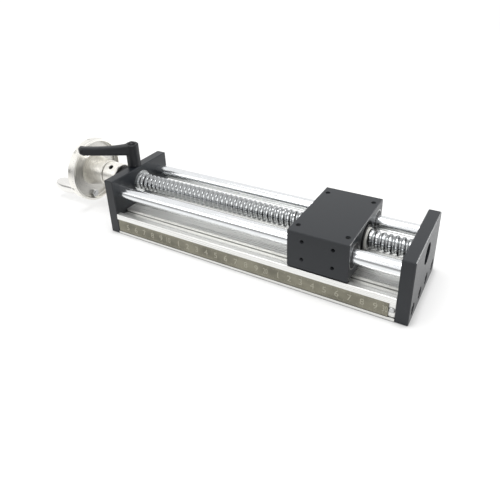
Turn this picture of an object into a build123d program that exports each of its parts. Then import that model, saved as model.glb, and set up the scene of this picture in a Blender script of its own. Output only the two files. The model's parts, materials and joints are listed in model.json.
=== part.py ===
from build123d import *
from math import asin, cos, pi, radians, sin, sqrt
import os

# Hand-driven alignment stage. A ball screw between two end plates moves a carriage along two guide
# rods over an aluminium base rail with a steel ruler in its front channel. A graduated handwheel
# with a revolving crank grip turns the screw, and a clamping lever on the plate locks it.
# Millimetres. +X runs along the screw from the handwheel to the bare end plate, +Y to the back,
# +Z up. The origin is in the middle of the rail's underside.

# Base rail
bed_length = 266.4
rail_width = 80.0
rail_height = 21.0
rail_lip = 5.0
rail_step_depth = 3.5
rail_middle_width = 52.0
rail_middle_drop = 0.5
rail_corner = 0.6
centre_line_spread = 26.0
centre_line_depth = 0.4
chamber_height = 8.0
chamber_wall = 2.2
t_slot_spread = 41.0
t_slot_mouth = 6.2
t_slot_lip = 2.0
t_slot_width = 11.0
t_slot_height = 3.5

# Ruler and its channel
ruler_width = 12.7
ruler_thickness = 0.8
ruler_start_gap = 0.4
ruler_end_room = 5.2
channel_bottom = 2.8
channel_depth = 1.3
channel_gap = 0.15
stop_screw_diameter = 3.0
stop_screw_length = 5.0
stop_head_diameter = 4.4
stop_head_height = 1.0
stop_screw_gap = 0.3

# End plates and the screws that hold them
plate_thickness = 10.0
plate_height = 55.0
plate_chamfer = 0.6
inner_port_spread = 20.0
outer_port_edge = 9.0
port_height = 10.0
plate_screw_diameter = 5.0
plate_screw_length = 20.0
plate_head_diameter = 8.5
plate_head_height = 5.0
plate_head_edge = 0.5
plate_socket_flats = 4.0
plate_socket_depth = 2.5
counterbore_diameter = 9.5
head_recess = 0.4
screw_hole_gap = 0.1

# Guide rods
rod_diameter = 12.0
rod_edge = 12.0
rod_seat_floor = 3.0
rod_seat_gap = 0.02
rod_chamfer = 0.8

# Ball screw
screw_diameter = 16.0
screw_height = 39.3
screw_chamfer = 0.8
screw_lead = 5.0
ball_groove_width = 3.3
ball_groove_floor = 1.7
ball_groove_depth = 1.35
ball_groove_land = 3.0
journal_diameter = 10.0
journal_chamfer = 0.6
wall_bore_gap = 0.6
seat_gap = 0.02

# Flanged bearing at the handwheel's end
fixed_bearing_diameter = 19.0
fixed_bearing_width = 5.0
fixed_flange_diameter = 22.2
fixed_flange_width = 1.0
fixed_ball_diameter = 2.4

# Floating bearing at the bare end
support_bearing_diameter = 22.0
support_bearing_width = 6.0
support_ball_diameter = 3.2
support_window_diameter = 17.5

# What both bearings share; a ring's land reaches this share of a ball's diameter past the ball's centre
bearing_ball_count = 7
bearing_ball_gap = 0.04
bearing_land_share = 0.38
shield_thickness = 0.3
shield_inset = 0.2
shield_gap = 0.15

# Retaining ring on the far journal
circlip_thickness = 1.0
circlip_diameter = 13.4
circlip_groove_diameter = 9.2
circlip_mouth_angle = 60.0
journal_tail = 1.6

# Play adjustment behind the handwheel's end plate
thrust_gap = 0.05
washer_thickness = 1.5
washer_diameter = 18.0
nut_flats = 19.0
nut_thickness = 6.0
nut_corner_slope = 0.6
adjusting_nut_turn = 90.0
jam_nut_turn = 78.0

# Hub collar and its set screws
collar_gap = 1.3
collar_diameter = 25.0
collar_length = 17.3
collar_chamfer = 0.8
collar_screw_diameter = 5.0
collar_screw_length = 5.5
collar_screw_sink = 1.4
collar_screw_angle = 30.0

# Handwheel
wheel_gap = 0.5
wheel_diameter = 66.0
wheel_rim_width = 8.9
wheel_rim_wall = 2.4
wheel_rim_chamfer = 0.5
wheel_dish_depth = 5.1
wheel_dish_corner = 0.8
wheel_boss_reach = 17.3
wheel_boss_diameter = 26.4
wheel_boss_root_diameter = 33.0
wheel_back_recess = 1.2
wheel_hub_diameter = 28.0
wheel_web_diameter = 42.0
wheel_screw_diameter = 5.0
wheel_screw_length = 12.0
wheel_screw_head_diameter = 9.0
wheel_screw_head_height = 3.2
wheel_screw_head_edge = 1.1
wheel_screw_socket_flats = 3.0
wheel_screw_socket_depth = 1.9
wheel_washer_diameter = 15.0
wheel_washer_thickness = 1.5

# Crank grip on the handwheel
crank_radius = 26.0
crank_angle = 15.5
crank_stud_diameter = 6.0
crank_thread_diameter = 4.0
crank_thread_tip = 0.5
crank_nut_flats = 7.0
crank_nut_thickness = 3.2
crank_head_diameter = 9.0
crank_head_height = 3.0
crank_slot_width = 1.5
crank_slot_depth = 1.5
grip_length = 47.7
grip_neck_diameter = 12.0
grip_neck_length = 16.7
grip_waist_diameter = 13.6
grip_belly_diameter = 16.4
grip_belly_place = 33.5
grip_end_diameter = 11.5
grip_end_bulge = 0.9
grip_recess_depth = 4.0
grip_side_gap = 0.3
grip_bore_gap = 0.05

# Carriage block
carriage_length = 50.0
carriage_to_plate = 36.7
carriage_gap = 1.0
carriage_chamfer = 0.5
top_hole_diameter = 4.2
top_hole_depth = 4.8
top_hole_spacing_x = 40.0
top_hole_edge = 10.0
side_hole_diameter = 3.3
side_hole_depth = 3.2
side_hole_spacing_x = 25.0
side_hole_spacing_z = 16.0

# Ball nut, with a wiper ring in each end
nut_diameter = 28.0
nut_recess = 2.0
nut_bore_gap = 0.05
wiper_diameter = 23.0
wiper_reach = 2.4
wiper_chamfer = 0.5
nut_screw_diameter = 4.0
nut_screw_spacing = 24.0

# Linear bearings, two on each rod
linear_diameter = 21.0
linear_spacing = 1.0
linear_shell = 1.9
seal_thickness = 1.6
seal_inset = 0.4
linear_run_gap = 0.05
linear_screw_diameter = 3.0
set_screw_gap = 0.1
set_screw_sink = 0.2

# Clamping lever on the handwheel's end plate
lever_foot_gap = 0.3
lever_hub_diameter = 13.0
lever_hub_height = 22.7
lever_stud_diameter = 4.0
lever_stud_gap = 0.05
lever_stud_grip = 7.0
lock_pad_length = 6.0
lock_pad_gap = 0.05
insert_diameter = 8.8
insert_height = 12.4
insert_gap = 0.1
tooth_count = 18
tooth_height = 0.8
tooth_length = 3.0
lever_shoulder = 2.0
lever_lift = 3.2
cap_diameter = 8.2
cap_gap = 0.2
cap_rise = 2.2
cap_rim = 1.2
cap_screw_diameter = 3.0
spring_wire = 0.6
spring_wire_sides = 6
spring_turns = 3.5
spring_diameter = 5.8
spring_end_gap = 0.1
lever_hub_edge = 0.8
arm_length = 50.0
arm_rise = 9.0
arm_angle = 238.8
arm_root_height = 11.6
arm_root_width = 9.4
arm_waist_reach = 25.0
arm_waist_rise = 3.8
arm_waist_height = 8.6
arm_waist_width = 7.8
arm_tip_reach = 47.3
arm_tip_height = 8.0
arm_tip_width = 9.6
arm_end_height = 5.0
arm_end_width = 6.0
arm_end_rise = 0.2
arm_corner = 2.4

# Faces and centres that follow from the sizes
inner_left = -bed_length / 2
outer_left = inner_left - plate_thickness
inner_right = bed_length / 2
outer_right = inner_right + plate_thickness
rail_middle_top = rail_height - rail_middle_drop
rail_step_floor = rail_height - rail_step_depth
channel_height = ruler_width + 2 * channel_gap
plate_width = rail_width
ruler_start = inner_left + ruler_start_gap
ruler_length = bed_length - ruler_start_gap - ruler_end_room
port_diameter = plate_screw_diameter + screw_hole_gap
outer_port_spread = rail_width - 2 * outer_port_edge
port_spreads = (inner_port_spread, outer_port_spread)
port_places = [side * spread / 2 for spread in port_spreads for side in (-1, 1)]
rod_spread = rail_width - 2 * rod_edge
rod_places = {"front": -rod_spread / 2, "back": rod_spread / 2}
rod_seat_depth = plate_thickness - rod_seat_floor
journal_radius = journal_diameter / 2
fixed_pocket_depth = fixed_bearing_width - fixed_flange_width
fixed_bearing_start = inner_left - fixed_pocket_depth
screw_start = inner_left + fixed_flange_width
washer_start = outer_left - thrust_gap - washer_thickness
adjusting_nut_start = washer_start - nut_thickness
jam_nut_start = adjusting_nut_start - nut_thickness
collar_start = jam_nut_start - collar_gap - collar_length
boss_end = collar_start - wheel_gap
rim_front = boss_end - wheel_boss_reach
rim_back = rim_front - wheel_rim_width
dish_floor = rim_front - wheel_dish_depth
journal_start = rim_back + wheel_gap
crank_y = -crank_radius * sin(radians(crank_angle))
crank_z = screw_height - crank_radius * cos(radians(crank_angle))
circlip_start = inner_right + support_bearing_width
journal_end = circlip_start + circlip_thickness + journal_tail
carriage_bottom = rail_height + carriage_gap
carriage_height = plate_height - carriage_bottom
carriage_rest = inner_right - carriage_to_plate - carriage_length / 2
carriage_left = carriage_rest - carriage_length / 2
carriage_right = carriage_rest + carriage_length / 2
top_hole_spacing_y = rail_width - 2 * top_hole_edge
ball_nut_length = carriage_length - 2 * nut_recess
nut_start = carriage_rest - ball_nut_length / 2
linear_length = (carriage_length - linear_spacing) / 2
lever_x = (outer_left + fixed_bearing_start) / 2
lock_pad_bottom = screw_height + journal_radius + lock_pad_gap
lever_stud_bottom = lock_pad_bottom + lock_pad_length + lock_pad_gap
lever_foot = plate_height + lever_foot_gap
lever_top = lever_foot + lever_hub_height
insert_top = lever_foot + insert_height
lever_shoulder_bottom = insert_top + insert_gap
lever_shoulder_top = lever_shoulder_bottom + lever_shoulder
cap_bottom = lever_top - cap_rim


def turned_x(outline, y=0.0, z=screw_height):
    """Turns an outline of (x, radius) points about a line along X through (y, z)."""
    face = Plane.XZ * make_face(Polyline(*outline, close=True))
    return Pos(0, y, z) * revolve(face, Axis.X)


def turned_z(outline, x, y):
    """Turns an outline of (radius, z) points about a line along Z through (x, y)."""
    face = Plane.XZ * make_face(Polyline(*outline, close=True))
    return Pos(x, y, 0) * revolve(face, Axis.Z)


def round_x(diameter, start, end, y=0.0, z=screw_height):
    """A plain round bar along X."""
    radius = diameter / 2
    return turned_x([(start, 0), (end, 0), (end, radius), (start, radius)], y, z)


def ring_x(outer, bore, start, end, y=0.0, z=screw_height):
    """A plain ring along X, given by its two diameters."""
    return turned_x([(start, bore / 2), (end, bore / 2), (end, outer / 2), (start, outer / 2)], y, z)


def round_z(diameter, bottom, top, x, y):
    """A plain round bar along Z."""
    radius = diameter / 2
    return turned_z([(0, bottom), (radius, bottom), (radius, top), (0, top)], x, y)


def prism_x(sketch, start, end):
    """Carries a section drawn across X from one X to another."""
    return extrude(Plane.YZ.offset(start) * sketch, end - start)


def hexagon(flats, turn=90.0):
    """A hexagon of a given width across flats, with a corner at the given angle."""
    return RegularPolygon(flats / sqrt(3), 6, rotation=turn)


def rail_section():
    """The extrusion's section: lips, steps, raised middle, ruler channels, ports and T-slots."""
    half = rail_width / 2
    channel_top = channel_bottom + channel_height
    right = [(half, 0), (half, channel_bottom), (half - channel_depth, channel_bottom)]
    right += [(half - channel_depth, channel_top), (half, channel_top), (half, rail_height)]
    right += [(half - rail_lip, rail_height), (half - rail_lip, rail_step_floor)]
    right += [(rail_middle_width / 2, rail_step_floor), (rail_middle_width / 2, rail_middle_top)]
    left = [(-y, z) for y, z in reversed(right)]
    section = make_face(Polyline(*right, *left, close=True))
    corners = [v for v in section.vertices() if abs(v.Y) < 0.01 and abs(v.X) > half - 0.01]
    corners += [v for v in section.vertices() if abs(v.Y - rail_height) < 0.01]
    section = fillet(corners, rail_corner)
    for y in port_places:
        section -= Pos(y, port_height) * Circle(port_diameter / 2)
    deep = centre_line_depth
    notch = make_face(Polyline((-deep, 0), (deep, 0), (0, -deep), close=True))
    for side in (-1, 1):
        section -= Pos(side * centre_line_spread / 2, rail_middle_top) * notch
    for side in (-1, 1):
        slot = Pos(side * t_slot_spread / 2, 0)
        section -= slot * Rectangle(t_slot_mouth, 2 * t_slot_lip)
        section -= slot * Pos(0, t_slot_lip + t_slot_height / 2) * Rectangle(t_slot_width, t_slot_height)
    chamber_middle = (t_slot_lip + t_slot_height + rail_step_floor) / 2
    port_room = port_diameter + 2 * chamber_wall
    outer_width = (outer_port_spread - inner_port_spread) / 2 - port_room
    outer_middle = (outer_port_spread + inner_port_spread) / 4
    for side in (-1, 1):
        section -= Pos(side * outer_middle, chamber_middle) * Rectangle(outer_width, chamber_height)
    section -= Pos(0, chamber_middle) * Rectangle(inner_port_spread - port_room, chamber_height)
    return section


def base_rail():
    rail = prism_x(rail_section(), inner_left, inner_right)
    hole_radius = (stop_screw_diameter + screw_hole_gap) / 2
    hole = Rot(90, 0, 0) * Cylinder(hole_radius, 2 * (channel_depth + stop_screw_length))
    return rail - Pos(stop_screw_place(), -rail_width / 2, stop_screw_height()) * hole


def stop_screw_place():
    """The stop screw stands just past the ruler's far end."""
    return ruler_start + ruler_length + stop_screw_gap + stop_head_diameter / 2


def stop_screw_height():
    return channel_bottom + channel_height / 2


def steel_ruler():
    back = -rail_width / 2 + channel_depth
    strip = Box(ruler_length, ruler_thickness, ruler_width, align=(Align.MIN, Align.MAX, Align.MIN))
    return Pos(ruler_start, back, channel_bottom + channel_gap) * strip


def ruler_stop_screw():
    """A low round head in the channel, with its shank in the rail's side."""
    floor = -rail_width / 2 + channel_depth
    head_radius = stop_head_diameter / 2
    shank_radius = stop_screw_diameter / 2
    outline = [(0, stop_head_height), (0, -stop_screw_length), (shank_radius, -stop_screw_length)]
    outline += [(shank_radius, 0), (head_radius, 0), (head_radius, stop_head_height / 2)]
    outline += [(head_radius - stop_head_height / 2, stop_head_height)]
    screw = Rot(90, 0, 0) * turned_z(outline, 0, 0)
    return Pos(stop_screw_place(), floor, stop_screw_height()) * screw


def plain_plate(start):
    """A chamfered plate that stands on the same level as the rail."""
    box = Box(plate_thickness, plate_width, plate_height, align=(Align.MIN, Align.CENTER, Align.MIN))
    return Pos(start, 0, 0) * chamfer(box.edges(), plate_chamfer)


def plate_screw_cuts(outer, inner):
    """Through holes with counterbores that open in the plate's outer face."""
    inward = 1 if inner > outer else -1
    floor = outer + inward * (plate_head_height + head_recess)
    cuts = []
    for y in port_places:
        low, high = sorted((outer, floor))
        cuts.append(round_x(counterbore_diameter, low, high, y, port_height))
        low, high = sorted((outer, inner))
        cuts.append(round_x(port_diameter, low, high, y, port_height))
    return cuts


def handwheel_end_plate():
    plate = plain_plate(outer_left)
    for cut in plate_screw_cuts(outer_left, inner_left):
        plate -= cut
    for y in rod_places.values():
        plate -= round_x(rod_diameter + 2 * rod_seat_gap, inner_left - rod_seat_depth, inner_left, y)
    plate -= round_x(fixed_bearing_diameter + 2 * seat_gap, fixed_bearing_start, inner_left)
    plate -= round_x(journal_diameter + 2 * wall_bore_gap, outer_left, inner_left)
    plate -= round_z(lever_stud_diameter + 2 * lever_stud_gap, screw_height, plate_height, lever_x, 0)
    return plate


def far_end_plate():
    plate = plain_plate(inner_right)
    for cut in plate_screw_cuts(outer_right, inner_right):
        plate -= cut
    for y in rod_places.values():
        plate -= round_x(rod_diameter + 2 * rod_seat_gap, inner_right, inner_right + rod_seat_depth, y)
    pocket_end = inner_right + support_bearing_width
    plate -= round_x(support_bearing_diameter + 2 * seat_gap, inner_right, pocket_end)
    plate -= round_x(support_window_diameter, inner_right, outer_right)
    return plate


def plate_screws(outer, inward):
    """Four socket head screws, heads sunk in the plate's outer face."""
    screws = []
    head = plate_head_diameter / 2
    shank = plate_screw_diameter / 2
    edge = plate_head_edge
    top = head_recess
    under = head_recess + plate_head_height
    outline = [(top, 0), (top, head - edge), (top + edge, head), (under, head), (under, shank)]
    outline += [(under + plate_screw_length, shank), (under + plate_screw_length, 0)]
    for y in port_places:
        screw = turned_x([(outer + inward * x, r) for x, r in outline], y, port_height)
        start = outer + inward * top
        low, high = sorted((start, start + inward * plate_socket_depth))
        screw -= prism_x(Pos(y, port_height) * hexagon(plate_socket_flats), low, high)
        screws.append(screw)
    return screws


def guide_rod(y):
    start = inner_left - rod_seat_depth
    end = inner_right + rod_seat_depth
    radius = rod_diameter / 2
    outline = [(start, 0), (end, 0), (end, radius - rod_chamfer), (end - rod_chamfer, radius)]
    outline += [(start + rod_chamfer, radius), (start, radius - rod_chamfer)]
    return turned_x(outline, y)


def bearing(bore, outer, width, ball, start, flange=None):
    """A shielded ball bearing along X: outer ring, inner ring, balls and shields."""
    pitch = (bore + outer) / 4
    middle = start + width / 2
    end = start + width
    land = bearing_land_share * ball
    groove = Pos(middle, pitch) * Circle(ball / 2 + bearing_ball_gap)
    outer_low = pitch + land
    inner_high = pitch - land
    outer_outline = [(start, outer_low), (end, outer_low)]
    if flange:
        flange_diameter, flange_width = flange
        flange_start = end - flange_width
        outer_outline += [(end, flange_diameter / 2), (flange_start, flange_diameter / 2)]
        outer_outline += [(flange_start, outer / 2)]
    else:
        outer_outline += [(end, outer / 2)]
    outer_outline += [(start, outer / 2)]
    inner_outline = [(start, bore / 2), (end, bore / 2), (end, inner_high), (start, inner_high)]
    rings = []
    for outline in (outer_outline, inner_outline):
        face = Plane.XZ * (make_face(Polyline(*outline, close=True)) - groove)
        rings.append(Pos(0, 0, screw_height) * revolve(face, Axis.X))
    balls = []
    for step in range(bearing_ball_count):
        angle = 2 * pi * step / bearing_ball_count
        place = Pos(middle, pitch * sin(angle), screw_height + pitch * cos(angle))
        balls.append(place * Sphere(ball / 2))
    shield_bore = 2 * (inner_high + shield_gap)
    near = start + shield_inset
    far = end - shield_inset - shield_thickness
    shields = [ring_x(2 * outer_low, shield_bore, x, x + shield_thickness) for x in (near, far)]
    return rings[0], rings[1], balls, shields


def ball_groove_places():
    """One ring for each turn of the ball track, a lead apart and centred between the two ends."""
    room = inner_right - screw_start - 2 * ball_groove_land - ball_groove_width
    gaps = int(room / screw_lead)
    first = (screw_start + inner_right - gaps * screw_lead) / 2
    return [first + k * screw_lead for k in range(gaps + 1)]


def ball_screw():
    """The grooved body between two turned journals, with a groove for the retaining ring."""
    radius = screw_diameter / 2
    groove = circlip_groove_diameter / 2
    groove_end = circlip_start + circlip_thickness
    outline = [(journal_start, 0), (journal_start, journal_radius - journal_chamfer)]
    outline += [(journal_start + journal_chamfer, journal_radius), (screw_start, journal_radius)]
    outline += [(screw_start, radius - screw_chamfer), (screw_start + screw_chamfer, radius)]
    floor = radius - ball_groove_depth
    for place in ball_groove_places():
        outline += [(place - ball_groove_width / 2, radius), (place - ball_groove_floor / 2, floor)]
        outline += [(place + ball_groove_floor / 2, floor), (place + ball_groove_width / 2, radius)]
    outline += [(inner_right - screw_chamfer, radius), (inner_right, radius - screw_chamfer)]
    outline += [(inner_right, journal_radius), (circlip_start, journal_radius), (circlip_start, groove)]
    outline += [(groove_end, groove), (groove_end, journal_radius)]
    outline += [(journal_end - journal_chamfer, journal_radius)]
    outline += [(journal_end, journal_radius - journal_chamfer), (journal_end, 0)]
    screw = turned_x(outline)
    tapped = wheel_screw_diameter + screw_hole_gap
    return screw - round_x(tapped, journal_start, journal_start + wheel_screw_length)


def journal_circlip():
    """An open retaining ring in the far journal's groove."""
    end = circlip_start + circlip_thickness
    ring = ring_x(circlip_diameter, circlip_groove_diameter, circlip_start, end)
    half = radians(circlip_mouth_angle / 2)
    side = circlip_diameter * sin(half)
    below = -circlip_diameter * cos(half)
    mouth = Pos(0, screw_height) * make_face(Polyline((0, 0), (-side, below), (side, below), close=True))
    return ring - prism_x(mouth, circlip_start, end)


def thrust_washer():
    bore = journal_diameter + 2 * seat_gap
    return ring_x(washer_diameter, bore, washer_start, washer_start + washer_thickness)


def hex_nut(start, turn):
    """A hexagon nut with its corners turned down on both faces."""
    blank = prism_x(Pos(0, screw_height) * hexagon(nut_flats, turn), start, start + nut_thickness)
    corner = nut_flats / sqrt(3)
    rise = (corner - nut_flats / 2) * nut_corner_slope
    end = start + nut_thickness
    outline = [(start, 0), (start, nut_flats / 2), (start + rise, corner), (end - rise, corner)]
    outline += [(end, nut_flats / 2), (end, 0)]
    return (blank & turned_x(outline)) - round_x(journal_diameter + 2 * seat_gap, start, end)


def collar_screw_frames():
    """Places on the collar, a quarter turn apart, each with Z pointing outwards."""
    middle = collar_start + collar_length / 2
    for angle in (collar_screw_angle, collar_screw_angle - 90):
        yield Pos(middle, 0, screw_height) * Rot(angle, 0, 0)


def hub_collar():
    radius = collar_diameter / 2
    bore = journal_radius + seat_gap
    end = collar_start + collar_length
    outline = [(collar_start, bore), (end, bore), (end, radius - collar_chamfer)]
    outline += [(end - collar_chamfer, radius), (collar_start + collar_chamfer, radius)]
    outline += [(collar_start, radius - collar_chamfer)]
    collar = turned_x(outline)
    hole_radius = (collar_screw_diameter + screw_hole_gap) / 2
    hole = Cylinder(hole_radius, radius, align=(Align.CENTER, Align.CENTER, Align.MIN))
    for frame in collar_screw_frames():
        collar -= frame * hole
    return collar


def collar_set_screws():
    """Two socket set screws, sunk below the collar's surface and bearing on the journal."""
    top = collar_diameter / 2 - collar_screw_sink
    hanging = (Align.CENTER, Align.CENTER, Align.MAX)
    screw = Cylinder(collar_screw_diameter / 2, collar_screw_length, align=hanging)
    socket = extrude(hexagon(collar_screw_diameter / 2), -collar_screw_length / 2)
    return [frame * (Pos(0, 0, top) * (screw - socket)) for frame in collar_screw_frames()]


def handwheel():
    """A dished wheel: rim, recessed web, tapered boss towards the stage and a flat back."""
    rim = wheel_diameter / 2
    inside = rim - wheel_rim_wall
    edge = wheel_rim_chamfer
    bore = journal_radius + seat_gap
    root = wheel_boss_root_diameter / 2
    boss = wheel_boss_diameter / 2
    corner = wheel_dish_corner
    web = wheel_web_diameter / 2
    hub = wheel_hub_diameter / 2
    web_back = rim_back + wheel_back_recess
    start = (boss_end, bore)
    boss_line = Polyline(start, (boss_end, boss - edge), (boss_end - edge, boss))
    boss_curve = TangentArc(boss_line @ 1, (dish_floor, root), tangent=(-1, 0))
    dish_line = Polyline((dish_floor, root), (dish_floor, inside - corner), (dish_floor + corner, inside),
                         (rim_front, inside), (rim_front, rim - edge), (rim_front - edge, rim))
    back_line = Polyline((rim_front - edge, rim), (rim_back + edge, rim), (rim_back, rim - edge),
                         (rim_back, web), (web_back, web - wheel_back_recess),
                         (web_back, hub + wheel_back_recess), (rim_back, hub), (rim_back, bore), start)
    face = Plane.XZ * make_face(boss_line + boss_curve + dish_line + back_line)
    wheel = Pos(0, 0, screw_height) * revolve(face, Axis.X)
    return wheel - round_x(crank_thread_diameter + screw_hole_gap, rim_back, dish_floor, crank_y, crank_z)


def wheel_washer():
    bore = wheel_screw_diameter + screw_hole_gap
    return ring_x(wheel_washer_diameter, bore, rim_back - wheel_washer_thickness, rim_back)


def wheel_screw():
    """The screw that draws the wheel on to the journal's end."""
    under = rim_back - wheel_washer_thickness
    top = under - wheel_screw_head_height
    head = wheel_screw_head_diameter / 2
    shank = wheel_screw_diameter / 2
    edge = wheel_screw_head_edge
    tip = under + wheel_screw_length
    outline = [(top, 0), (top, head - edge), (top + edge, head), (under, head)]
    outline += [(under, shank), (tip, shank), (tip, 0)]
    socket = Pos(0, screw_height) * hexagon(wheel_screw_socket_flats)
    return turned_x(outline) - prism_x(socket, top, top + wheel_screw_socket_depth)


def crank_stud():
    """A shouldered stud: head in the grip's end, thread through the wheel's web."""
    recess_floor = rim_back - grip_side_gap - grip_length + grip_recess_depth
    shoulder_end = recess_floor - grip_side_gap
    head_end = shoulder_end - crank_head_height
    tip = dish_floor + crank_nut_thickness + crank_thread_tip
    shoulder = crank_stud_diameter / 2
    thread = crank_thread_diameter / 2
    head = crank_head_diameter / 2
    outline = [(head_end, 0), (head_end, head), (shoulder_end, head), (shoulder_end, shoulder)]
    outline += [(rim_back, shoulder), (rim_back, thread), (tip, thread), (tip, 0)]
    stud = turned_x(outline, crank_y, crank_z)
    slot = Box(2 * crank_slot_depth, 2 * crank_head_diameter, crank_slot_width)
    return stud - Pos(head_end, crank_y, crank_z) * slot


def crank_nut():
    """A small nut on the stud's thread, inside the dish, one flat towards the rim."""
    flat_to_rim = 90 - crank_angle + 30
    section = hexagon(crank_nut_flats, flat_to_rim) - Circle((crank_thread_diameter + screw_hole_gap) / 2)
    return prism_x(Pos(crank_y, crank_z) * section, dish_floor, dish_floor + crank_nut_thickness)


def crank_grip():
    """A waisted grip that revolves on the stud: hollow neck, full belly and a round end."""
    base = rim_back - grip_side_gap
    end = base - grip_length
    bore = crank_stud_diameter / 2 + grip_bore_gap
    recess = crank_head_diameter / 2 + grip_side_gap
    recess_floor = end + grip_recess_depth
    neck = (base, grip_neck_diameter / 2)
    waist = (base - grip_neck_length, grip_waist_diameter / 2)
    belly = (base - grip_belly_place, grip_belly_diameter / 2)
    tip = (end, grip_end_diameter / 2)
    hollow = TangentArc(neck, waist, tangent=(-1, 0))
    swell = TangentArc(hollow @ 1, belly, tangent=hollow % 1)
    half_way = ((belly[0] + tip[0]) / 2, (belly[1] + tip[1]) / 2 + grip_end_bulge)
    crown = ThreePointArc(swell @ 1, half_way, tip)
    rest = Polyline(tip, (end, recess), (recess_floor, recess), (recess_floor, bore), (base, bore), neck)
    face = Plane.XZ * make_face(hollow + swell + crown + rest)
    return Pos(0, crank_y, crank_z) * revolve(face, Axis.X)


def carriage_holes():
    """Blind tapped holes: four in the top and four in each side."""
    hanging = (Align.CENTER, Align.CENTER, Align.MAX)
    top = Cylinder(top_hole_diameter / 2, top_hole_depth, align=hanging)
    side = Cylinder(side_hole_diameter / 2, side_hole_depth, align=hanging)
    for right in (-1, 1):
        x = carriage_rest + right * top_hole_spacing_x / 2
        for back in (-1, 1):
            yield Pos(x, back * top_hole_spacing_y / 2, plate_height) * top
    for right in (-1, 1):
        x = carriage_rest + right * side_hole_spacing_x / 2
        for up in (-1, 1):
            z = screw_height + up * side_hole_spacing_z / 2
            for back in (-1, 1):
                yield Pos(x, back * rail_width / 2, z) * Rot(-90 * back, 0, 0) * side


def linear_bearing_starts():
    """Each rod's two bearings end flush with the block's two faces."""
    return {"left": carriage_left, "right": carriage_right - linear_length}


def set_screw_places():
    """Set screws in the block's underside: (x, y, top, diameter) for the nut and each bearing."""
    nut_top = screw_height - nut_diameter / 2
    nut_places = [(carriage_rest + side * nut_screw_spacing / 2, 0, nut_top, nut_screw_diameter)
                  for side in (-1, 1)]
    bearing_top = screw_height - linear_diameter / 2
    bearing_places = [(start + linear_length / 2, y, bearing_top, linear_screw_diameter)
                      for y in rod_places.values() for start in linear_bearing_starts().values()]
    return nut_places, bearing_places


def carriage_block():
    block = Box(carriage_length, rail_width, carriage_height, align=(Align.CENTER, Align.CENTER, Align.MIN))
    block = Pos(carriage_rest, 0, carriage_bottom) * chamfer(block.edges(), carriage_chamfer)
    block -= round_x(nut_diameter + 2 * seat_gap, carriage_left, carriage_right)
    for y in rod_places.values():
        block -= round_x(linear_diameter + 2 * seat_gap, carriage_left, carriage_right, y)
    for hole in carriage_holes():
        block -= hole
    for places in set_screw_places():
        for x, y, top, diameter in places:
            block -= round_z(diameter + set_screw_gap, carriage_bottom, top + diameter, x, y)
    return block


def underside_screws(places):
    """Short set screws, just below the surface of the block's underside."""
    screws = []
    for x, y, top, diameter in places:
        bottom = carriage_bottom + set_screw_sink
        screw = round_z(diameter, bottom, top, x, y)
        socket = extrude(Plane.XY.offset(bottom) * Pos(x, y) * hexagon(diameter / 2), diameter / 2)
        screws.append(screw - socket)
    return screws


def ball_nut():
    bore = screw_diameter + 2 * nut_bore_gap
    body = ring_x(nut_diameter, bore, nut_start, nut_start + ball_nut_length)
    seat = wiper_diameter + 2 * seat_gap
    body -= ring_x(seat, bore, nut_start, nut_start + nut_recess)
    body -= ring_x(seat, bore, nut_start + ball_nut_length - nut_recess, nut_start + ball_nut_length)
    return body


def nut_wipers():
    """A ring in each end of the nut that stands proud of the block's face."""
    bore = screw_diameter / 2 + nut_bore_gap
    radius = wiper_diameter / 2
    wipers = []
    for side in (-1, 1):
        inner = carriage_rest + side * (ball_nut_length / 2 - nut_recess)
        outer = carriage_rest + side * (carriage_length / 2 + wiper_reach)
        shoulder = outer - side * wiper_chamfer
        outline = [(inner, bore), (outer, bore), (outer, radius - wiper_chamfer)]
        wipers.append(turned_x(outline + [(shoulder, radius), (inner, radius)]))
    return wipers


def linear_bearing_shell(start, y):
    return ring_x(linear_diameter, linear_diameter - 2 * linear_shell, start, start + linear_length, y)


def linear_bearing_inside():
    """Ball cages and end seals of the four linear bearings."""
    cages = []
    seals = []
    inside = linear_diameter - 2 * linear_shell
    bore = rod_diameter + 2 * linear_run_gap
    depth = seal_inset + seal_thickness
    for y in rod_places.values():
        for start in linear_bearing_starts().values():
            end = start + linear_length
            cages.append(ring_x(inside, bore, start + depth, end - depth, y))
            seals.append(ring_x(inside, bore, start + seal_inset, start + depth, y))
            seals.append(ring_x(inside, bore, end - depth, end - seal_inset, y))
    return cages, seals


def tooth_ring(radius, height):
    """A star outline: teeth of a given height on a circle."""
    points = []
    for step in range(2 * tooth_count):
        reach = radius + (height if step % 2 else 0)
        angle = pi * step / tooth_count
        points.append((reach * cos(angle), reach * sin(angle)))
    return make_face(Polyline(*points, close=True))


def lever_insert():
    """The steel core of the lever: a toothed foot, a sleeve and bores for the stud and the screw."""
    sleeve = round_z(insert_diameter, lever_foot, insert_top, lever_x, 0)
    teeth = tooth_ring(insert_diameter / 2, tooth_height)
    core = sleeve + extrude(Plane.XY.offset(lever_foot) * Pos(lever_x, 0) * teeth, tooth_length)
    core -= round_z(lever_stud_diameter + 2 * seat_gap, lever_foot, lever_foot + lever_stud_grip, lever_x, 0)
    return core - round_z(cap_screw_diameter + 2 * seat_gap, lever_foot, insert_top, lever_x, 0)


def lever_stud():
    return round_z(lever_stud_diameter, lever_stud_bottom, lever_foot + lever_stud_grip, lever_x, 0)


def lock_pad():
    """A brass plug that the stud presses on the journal."""
    return round_z(lever_stud_diameter, lock_pad_bottom, lock_pad_bottom + lock_pad_length, lever_x, 0)


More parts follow.
